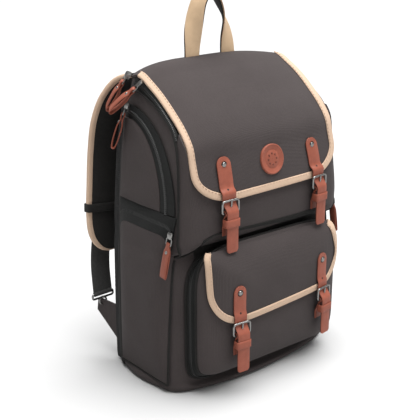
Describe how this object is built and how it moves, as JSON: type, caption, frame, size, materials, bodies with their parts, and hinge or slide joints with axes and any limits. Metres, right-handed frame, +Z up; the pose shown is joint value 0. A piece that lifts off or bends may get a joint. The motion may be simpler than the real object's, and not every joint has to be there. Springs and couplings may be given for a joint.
{
  "type": "backpack",
  "caption": "Upright flap-top rucksack with a domed front pocket, leather strap-and-buckle closures, zipped side pockets, padded shoulder straps and a carry handle.",
  "frame": {"origin": "centre of the base's flat bottom, on the surface that the bag stands on", "axes": "+Z up, -Y towards the front pocket, +Y towards the wearer's back, +X to the right of someone facing the front"},
  "size_m": [0.328, 0.2485, 0.5209],
  "materials": {
    "canvas": "matte charcoal woven canvas",
    "black_fabric": "black padded mesh and webbing",
    "zip": "black coil zip on woven tape",
    "binding": "beige folded binding tape",
    "leather": "chestnut smooth leather",
    "metal": "gunmetal plated"
  },
  "bodies": {
    "root": {"flap": "canvas", "body_shell": "canvas", "front_panel": "canvas", "pocket_flap": "canvas", "side_pocket_left": "canvas", "side_door_left": "canvas", "strap_tab_left": "canvas", "top_zip_left": "zip", "side_pocket_zip_left": "zip", "side_zip_left": "zip", "shoulder_pad_left": "black_fabric", "elastic_loop_left": "black_fabric", "webbing_left": "black_fabric", "shoulder_binding_left": "binding", "strap_hook_left": "metal", "strap_upper_left": "leather", "chape_upper_left": "leather", "buckle_upper_left": "metal", "strap_lower_left": "leather", "chape_lower_left": "leather", "buckle_lower_left": "metal", "side_pocket_right": "canvas", "side_door_right": "canvas", "strap_tab_right": "canvas", "top_zip_right": "zip", "side_pocket_zip_right": "zip", "side_zip_right": "zip", "shoulder_pad_right": "black_fabric", "elastic_loop_right": "black_fabric", "webbing_right": "black_fabric", "shoulder_binding_right": "binding", "strap_hook_right": "metal", "strap_upper_right": "leather", "chape_upper_right": "leather", "buckle_upper_right": "metal", "strap_lower_right": "leather", "chape_lower_right": "leather", "buckle_lower_right": "metal", "front_gusset": "zip", "back_panel": "black_fabric", "handle_lining": "black_fabric", "flap_binding": "binding", "pocket_binding": "binding", "handle_strap": "binding", "badge": "leather", "pull_top_back": "leather", "slider_top_back": "metal", "pull_top_front": "leather", "slider_top_front": "metal", "pull_door_left": "leather", "slider_door_left": "metal", "pull_door_right": "leather", "slider_door_right": "metal", "pull_pocket_left": "leather", "slider_pocket_left": "metal", "pull_pocket_right": "leather", "slider_pocket_right": "metal"}
  },
  "joints": []
}
